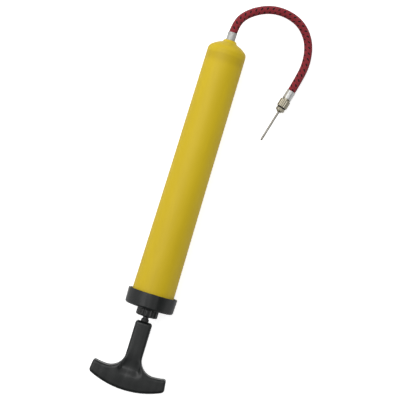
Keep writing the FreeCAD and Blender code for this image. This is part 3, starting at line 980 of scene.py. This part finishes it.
def build_ferrule(name, node, place, finish, reach_down=0.0, cut_back=0.0):
    """Crimped sleeve with rolled mouths, flattened on its sides between them."""
    radius, start, end = reach(node, place)
    start -= reach_down
    end -= cut_back
    long = end - start
    bore = 0.00355
    section = [(bore, start), (radius - 0.0001, start)]
    section += rows(radius, start, end, 22)
    section += [(radius - 0.0001, end), (bore, end)]
    bm = turned(section, 96)
    soften(bm, 0.00012, 2)
    for vert in bm.verts:
        share = (vert.co.y - start) / long
        if off_axis(vert) > bore + 0.0001:
            waist = math.exp(-((share - 0.5) / 0.10) ** 2)
            set_radius(vert, off_axis(vert) - 0.00014 * waist)
    mouth = 0.12 * long
    press_flats(bm, sizes().ferrule_flats, radius - 0.00013, start + mouth, end - mouth)
    return new_piece(name, bm, place, finish, "pump_body", node)


def build_socket():
    """Plated socket with a fluted body, whose tail is in the hose."""
    radius, start, face = reach("needle_socket", HOSE_END)
    flutes = sizes().socket_flutes
    bore, tail, neck, thread = 0.0010, 0.00175, 0.0036, 0.0031
    neck_start = 0.0012
    body_start = 0.0026
    thread_end = face - 0.0050
    section = outline(
        (bore, start), (tail, start), (tail, neck_start), (neck, neck_start),
        (neck, body_start - 0.0002), (neck + 0.0002, body_start), (radius - 0.0001, body_start),
        (radius, body_start + 0.0001),
    )
    section += rows(radius, body_start + 0.0001, face - 0.0001, 6)
    section += outline(
        (radius, face - 0.0001), (radius - 0.0001, face),
        (thread + 0.0003, face), (thread, face - 0.0003),
        (thread, thread_end), (bore, thread_end),
    )
    bm = turned(section, flutes * 12)
    soften(
        bm, 0.00012, 2,
        chosen=lambda edge: edge.verts[0].co.xz.length > thread + 0.0001 and edge.verts[0].co.y > 0,
    )
    press_flutes(bm, flutes, radius, neck + 0.0002, 0.00036, body_start - 0.0001, face)
    return new_piece("socket_body", bm, HOSE_END, nickel_plate, "pump_body", "needle_socket")


def build_washer():
    gasket, start, end = reach("needle_gasket", HOSE_END)
    bore, side = 0.0031, gasket - 0.0003
    section = outline((bore, start), (side, start), ((gasket, (start + end) / 2), (side, end)), (bore, end))
    bm = turned(section, 64)
    return new_piece("socket_washer", bm, HOSE_END, black_rubber, "needle_gasket", "needle_gasket")


def build_hub():
    """The needle's plated hub, with its thread and six flats."""
    grip, start, nose_end = reach("needle_hub", HOSE_END)
    grip_start = reach("needle_gasket", HOSE_END)[2]
    grip_end = grip_start + 0.0028
    bore, thread, thread_depth = 0.0008, 0.0030, 0.00036
    section = outline((bore, start), (thread - 0.0004, start), (thread, start + 0.0004))
    section += rows(thread, start + 0.0004, grip_start, 56)
    section += outline(
        (thread, grip_start), (grip - 0.0005, grip_start), (grip, grip_start + 0.0003),
        (grip, grip_end - 0.0004), (grip - 0.0007, grip_end), (0.0024, grip_end),
        ((0.0020, grip_end + 0.0008), (0.0013, nose_end)), (bore, nose_end),
    )
    bm = turned(section, 96)
    for vert in bm.verts:
        radius = off_axis(vert)
        if abs(radius - thread) < WELD and vert.co.y < grip_start - 0.0003:
            share = (vert.co.y / sizes().thread_pitch - round_axis(vert) / (2 * math.pi)) % 1
            set_radius(vert, radius - thread_depth * abs(2 * share - 1))
    soften(bm, 0.00015, 2, chosen=lambda edge: edge.verts[0].co.xz.length > thread + 0.0001)
    press_flats(bm, 6, grip - 0.00042, grip_start, grip_end)
    return new_piece("needle_grip", bm, HOSE_END, nickel_plate, "needle", "needle_hub")


def build_tube():
    """The needle's tube, with a round tip and the air hole in its side."""
    radius, start, tip = reach("needle_tube", HOSE_END)
    bow = radius * math.sqrt(0.5)
    hole = tip - 0.0036
    hole_radius = 0.0004
    tail = 0.0008
    tail_end = reach("needle_hub", HOSE_END)[2] + 0.0004
    section = outline((0, start), (tail, start), (tail, tail_end), (radius, tail_end))
    section += rows(radius, tail_end, hole - hole_radius, 6)
    section += [(radius, hole - hole_radius), (radius, hole), (radius, hole + hole_radius)]
    section += outline((radius, tip - radius), ((bow, tip - radius + bow), (0, tip)))
    bm = turned(section, 24)
    bmesh.ops.rotate(bm, verts=bm.verts, cent=(0, 0, 0), matrix=Matrix.Rotation(math.pi / 2, 3, "Y"))
    drill(bm, Vector((0, hole, radius)), hole_radius)
    soften(bm, 0.00008, 2, sharper_than=math.radians(50))
    return new_piece("needle_barrel", bm, HOSE_END, needle_steel, "needle", "needle_tube")


def drill(bm, centre, radius):
    """Sinks a small round hole into the tube's side, where its vertex is nearest the centre."""
    middle = min(bm.verts, key=lambda vert: (vert.co - centre).length)
    bmesh.ops.dissolve_verts(bm, verts=[middle])
    face = min(bm.faces, key=lambda item: (item.calc_center_median() - centre).length)
    bmesh.ops.inset_individual(bm, faces=[face], thickness=0.00004)
    for vert in face.verts:
        outward = Vector((vert.co.x - centre.x, vert.co.y - centre.y, 0)).normalized() * radius
        vert.co.x = centre.x + outward.x
        vert.co.y = centre.y + outward.y
    bmesh.ops.translate(bm, verts=extruded(bm, face), vec=(0, 0, -HOLE_DEPTH))


def build_valve_spring():
    """Coil spring of the valve, made at one length; in the pump it shortens as the ball lifts."""
    start, end = reach("valve_spring", PUMP)[1:]
    wire, radius, turns = 0.0002, 0.0015, 4
    steps = 36 * turns
    climb = Vector((0, (end - start - 2 * wire) / steps, 0))
    bm = bmesh.new()
    first = Matrix.Translation((radius, start + wire, 0))
    bmesh.ops.create_circle(bm, segments=14, radius=wire, matrix=first)
    bmesh.ops.spin(
        bm, geom=bm.verts[:] + bm.edges[:], cent=(0, 0, 0), axis=(0, 1, 0), dvec=climb,
        angle=2 * math.pi * turns, steps=steps,
    )
    bmesh.ops.holes_fill(bm, edges=[edge for edge in bm.edges if edge.is_boundary], sides=0)
    piece = new_piece("valve_coil", bm, PUMP, spring_steel, "pump_body", "valve_spring")
    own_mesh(piece)


# ---- Hose ----


def route_line():
    """Points along the smooth line of the hose's route."""
    curve = bpy.data.curves.new("hose_route", "CURVE")
    curve.dimensions = "3D"
    curve.resolution_u = 64
    spline = curve.splines.new("NURBS")
    spline.points.add(len(HOSE_ROUTE) - 1)
    for knot, point in zip(spline.points, HOSE_ROUTE):
        knot.co = (*point, 1)
    spline.order_u = 3
    spline.use_endpoint_u = True
    holder = bpy.data.objects.new("hose_route", curve)
    line = bpy.data.meshes.new_from_object(holder)
    points = [vertex.co.copy() for vertex in line.vertices]
    bpy.data.objects.remove(holder)
    bpy.data.curves.remove(curve)
    bpy.data.meshes.remove(line)
    return points


class Line:
    """Points of a smooth line, which can be asked for its place and direction at a distance."""

    def __init__(self, points):
        self.points = points
        self.distances = [0.0]
        for before, after in zip(points, points[1:]):
            self.distances.append(self.distances[-1] + (after - before).length)
        chords = [(after - before).normalized() for before, after in zip(points, points[1:])]
        self.directions = [chords[0]]
        self.directions += [(before + after).normalized() for before, after in zip(chords, chords[1:])]
        self.directions.append(chords[-1])
        self.length = self.distances[-1]
        self.step = 0

    def at(self, distance):
        """Place and direction at a distance. Distances are asked for in rising order."""
        while self.step < len(self.points) - 2 and self.distances[self.step + 1] < distance:
            self.step += 1
        here, there = self.distances[self.step], self.distances[self.step + 1]
        share = (distance - here) / (there - here)
        place = self.points[self.step].lerp(self.points[self.step + 1], share)
        direction = self.directions[self.step].lerp(self.directions[self.step + 1], share)
        return place, direction.normalized()


def yarn_height(turns, leads, yarns):
    """Height of the cover's surface, 0 in the gaps and 1 on top of a yarn."""
    left = yarns * (turns + leads)
    right = yarns * (turns - leads)
    left_yarn = math.floor(left)
    right_yarn = math.floor(right)
    left_wave = 0.5 + 0.5 * math.cos(math.pi / 2 * (left_yarn + right - 1.0))
    right_wave = 0.5 + 0.5 * math.cos(math.pi / 2 * (right_yarn + left - 3.0))
    left_round = math.sin(math.pi * (left - left_yarn)) ** 0.5
    right_round = math.sin(math.pi * (right - right_yarn)) ** 0.5
    return max(left_round * (0.35 + 0.65 * left_wave), right_round * (0.35 + 0.65 * right_wave))


def build_hose(fittings):
    """The hose's woven cover, as a tube whose surface follows the yarns."""
    s = hose_sizes()
    points = route_line()
    line = Line(points)
    row_turn = s.row_angle / (2 * math.pi)
    around = 8 * s.yarns
    along = round(line.length / s.lead * around)
    bm = bmesh.new()
    weave = bm.loops.layers.uv.new("weave")
    bmesh.ops.create_grid(bm, x_segments=around, y_segments=along, size=1)
    for face in bm.faces:
        for loop in face.loops:
            turns = (loop.vert.co.x + 1) / 2 - row_turn
            leads = (loop.vert.co.y + 1) / 2 * line.length / s.lead
            loop[weave].uv = (turns, leads)
    up = Vector((0, 0, 1))
    row = None
    for vert in sorted(bm.verts, key=lambda item: item.co.y):
        if vert.co.y != row:
            row = vert.co.y
            distance = (row + 1) / 2 * line.length
            place, direction = line.at(distance)
            top = (up - direction * up.dot(direction)).normalized()
            right = direction.cross(top)
        turns = (vert.co.x + 1) / 2
        angle = 2 * math.pi * turns
        height = yarn_height(turns - row_turn, distance / s.lead, s.yarns)
        radius = s.radius - s.relief * (1 - height)
        vert.co = place + radius * (math.cos(angle) * top + math.sin(angle) * right)
    bmesh.ops.remove_doubles(bm, verts=bm.verts, dist=WELD)
    open_edges = [edge for edge in bm.edges if edge.is_boundary]
    bmesh.ops.holes_fill(bm, edges=open_edges, sides=0)
    piece = new_piece("hose_cover", bm, Matrix.Identity(4), hose_braid, "pump_body", "hose")


# ---- Stage ----


def area_light(name, place, wide, high, power):
    """A lamp that faces the frame's origin."""
    light = bpy.data.lights.new(name, "AREA")
    light.shape = "RECTANGLE"
    light.size = wide
    light.size_y = high
    light.energy = power
    lamp = bpy.data.objects.new(name, light)
    lamp.location = place
    lamp.rotation_euler = (-Vector(place)).to_track_quat("-Z", "Y").to_euler()
    bpy.context.scene.collection.objects.link(lamp)


def build_stage():
    scene = bpy.context.scene
    s = scene.stage_sizes
    low, high = CAD_BOX
    middle = (low + high) / 2

    bm = bmesh.new()
    bmesh.ops.create_grid(bm, x_segments=8, y_segments=8, size=6)
    mesh = bpy.data.meshes.new("floor")
    bm.to_mesh(mesh)
    bm.free()
    material, tree, sockets = new_material("floor_paper", Roughness=0.9, Specular_IOR_Level=0.1)
    sockets["Emission Color"].default_value = (1, 1, 1, 1)
    held = add(tree, "TexCoord").outputs["Object"]
    tone = span(tree, noise(tree, held, 300.0, 4.0), 0.3, 0.7, 0.84, 0.86)
    shade = add(tree, "CombineColor", {"Red": tone, "Green": tone, "Blue": tone})
    seen = add(tree, "LightPath").outputs["Is Camera Ray"]
    glow = times(tree, seen, s.floor_glow)
    feed(tree, sockets, Base_Color=shade.outputs["Color"], Emission_Strength=glow)
    mesh.materials.append(material)
    floor = bpy.data.objects.new("floor", mesh)
    scene.collection.objects.link(floor)

    camera = bpy.data.cameras.new("camera")
    camera.lens = s.lens
    camera.clip_start = 0.05
    holder = bpy.data.objects.new("camera", camera)
    holder.location = (middle.x + s.camera_shift[0], middle.y + s.camera_shift[1], s.camera_height)
    holder.rotation_euler = (0, 0, s.camera_turn)
    scene.collection.objects.link(holder)
    scene.camera = holder

    area_light("key", (-0.75, 0.45, 1.30), 1.5, 1.5, s.key_power)
    area_light("fill", (1.4, -0.3, 0.55), 1.0, 0.8, s.fill_power)

    # An even sky, dark high on the right and low behind the handle, where a studio has no lamp.
    world = bpy.data.worlds.new("studio")
    world.use_nodes = True
    tree = world.node_tree
    background = tree.nodes["Background"].inputs
    background["Color"].default_value = (1, 1, 1, 1)
    direction = add(tree, "TexCoord").outputs["Generated"]
    right = vector_maths(tree, "DOT_PRODUCT", direction, (0.83, 0.0, 0.56))["Value"]
    behind = vector_maths(tree, "DOT_PRODUCT", direction, (0.1, -0.87, 0.48))["Value"]
    strength = span(tree, right, 0.86, 0.96, s.sky, s.dark_side)
    dim = span(tree, behind, 0.62, 0.86, 1.0, 0.12)
    feed(tree, background, Strength=times(tree, strength, dim))
    scene.world = world
    scene.view_settings.view_transform = "Standard"


# ---- Operators and panel ----


class PUMP_OT_stage(Operator):
    """Make the floor, the lights and the camera"""

    bl_idname = "ball_pump.stage"
    bl_label = "Stage"

    def execute(self, context):
        build_stage()
        return {"FINISHED"}


class PUMP_OT_hose(Operator):
    """Make the hose with its ferrules, socket and needle"""

    bl_idname = "ball_pump.hose"
    bl_label = "Hose and needle"

    def execute(self, context):
        s = sizes()
        near = build_ferrule("nose_ferrule", "near_ferrule", PUMP, dull_shaded_aluminium, s.boss_gap, s.ferrule_cut)
        far = build_ferrule("socket_ferrule", "far_ferrule", HOSE_END, ferrule_aluminium)
        build_hose([near, far, build_socket(), build_washer(), build_hub(), build_tube()])
        return {"FINISHED"}


class PUMP_OT_barrel(Operator):
    """Make the barrel with its nose"""

    bl_idname = "ball_pump.barrel"
    bl_label = "Barrel"

    def execute(self, context):
        build_barrel()
        return {"FINISHED"}


class PUMP_OT_cap(Operator):
    """Make the end cap and the gland nut"""

    bl_idname = "ball_pump.cap"
    bl_label = "Cap and gland"

    def execute(self, context):
        build_end_cap()
        build_gland_nut()
        return {"FINISHED"}


class PUMP_OT_handle(Operator):
    """Make the T handle"""

    bl_idname = "ball_pump.handle"
    bl_label = "Handle"

    def execute(self, context):
        build_handle()
        return {"FINISHED"}


class PUMP_OT_rod(Operator):
    """Make the plunger's rod and its stop bumper"""

    bl_idname = "ball_pump.rod"
    bl_label = "Rod and bumper"

    def execute(self, context):
        build_rod()
        return {"FINISHED"}


class PUMP_OT_inside(Operator):
    """Give the pieces inside the pump their finishes"""

    bl_idname = "ball_pump.inside"
    bl_label = "Inner pieces"

    def execute(self, context):
        finishes = {
            black_rubber: ["cap_gasket", "nipple_o_ring", "piston_ring"],
            felt: ["rod_wiper"],
            brass: ["valve_seat", "hose_nipple"],
            steel: ["valve_ball", "thrust_washer", "piston_washer", "piston_nut"],
            piston_nylon: ["piston"],
        }
        for make, nodes in finishes.items():
            for node in nodes:
                mesh = frame["nodes"][node].data
                mesh.materials.clear()
                mesh.materials.append(finish_of(make))
        build_valve_spring()
        return {"FINISHED"}


OPERATORS = [
    PUMP_OT_stage, PUMP_OT_hose, PUMP_OT_barrel, PUMP_OT_cap, PUMP_OT_handle, PUMP_OT_rod, PUMP_OT_inside,
]


class PUMP_PT_panel(Panel):
    """Ball pump"""

    bl_idname = "PUMP_PT_panel"
    bl_label = "Ball Pump"
    bl_space_type = "VIEW_3D"
    bl_region_type = "UI"
    bl_category = "Ball Pump"

    def draw(self, context):
        for operator in OPERATORS:
            self.layout.operator(operator.bl_idname)


SETTINGS = {
    "pump_sizes": PumpSizes, "hose_sizes": HoseSizes, "pump_colours": PumpColours, "stage_sizes": StageSizes,
}


def register():
    for item in (*SETTINGS.values(), *OPERATORS, PUMP_PT_panel):
        bpy.utils.register_class(item)
    for name, kind in SETTINGS.items():
        setattr(bpy.types.Scene, name, PointerProperty(type=kind))


def unregister():
    for name in SETTINGS:
        delattr(bpy.types.Scene, name)
    for item in reversed((*SETTINGS.values(), *OPERATORS, PUMP_PT_panel)):
        bpy.utils.unregister_class(item)


def main():
    register()
    for operator in OPERATORS:
        getattr(bpy.ops.ball_pump, operator.bl_idname.split(".")[1])()


if __name__ == "__main__":
    main()
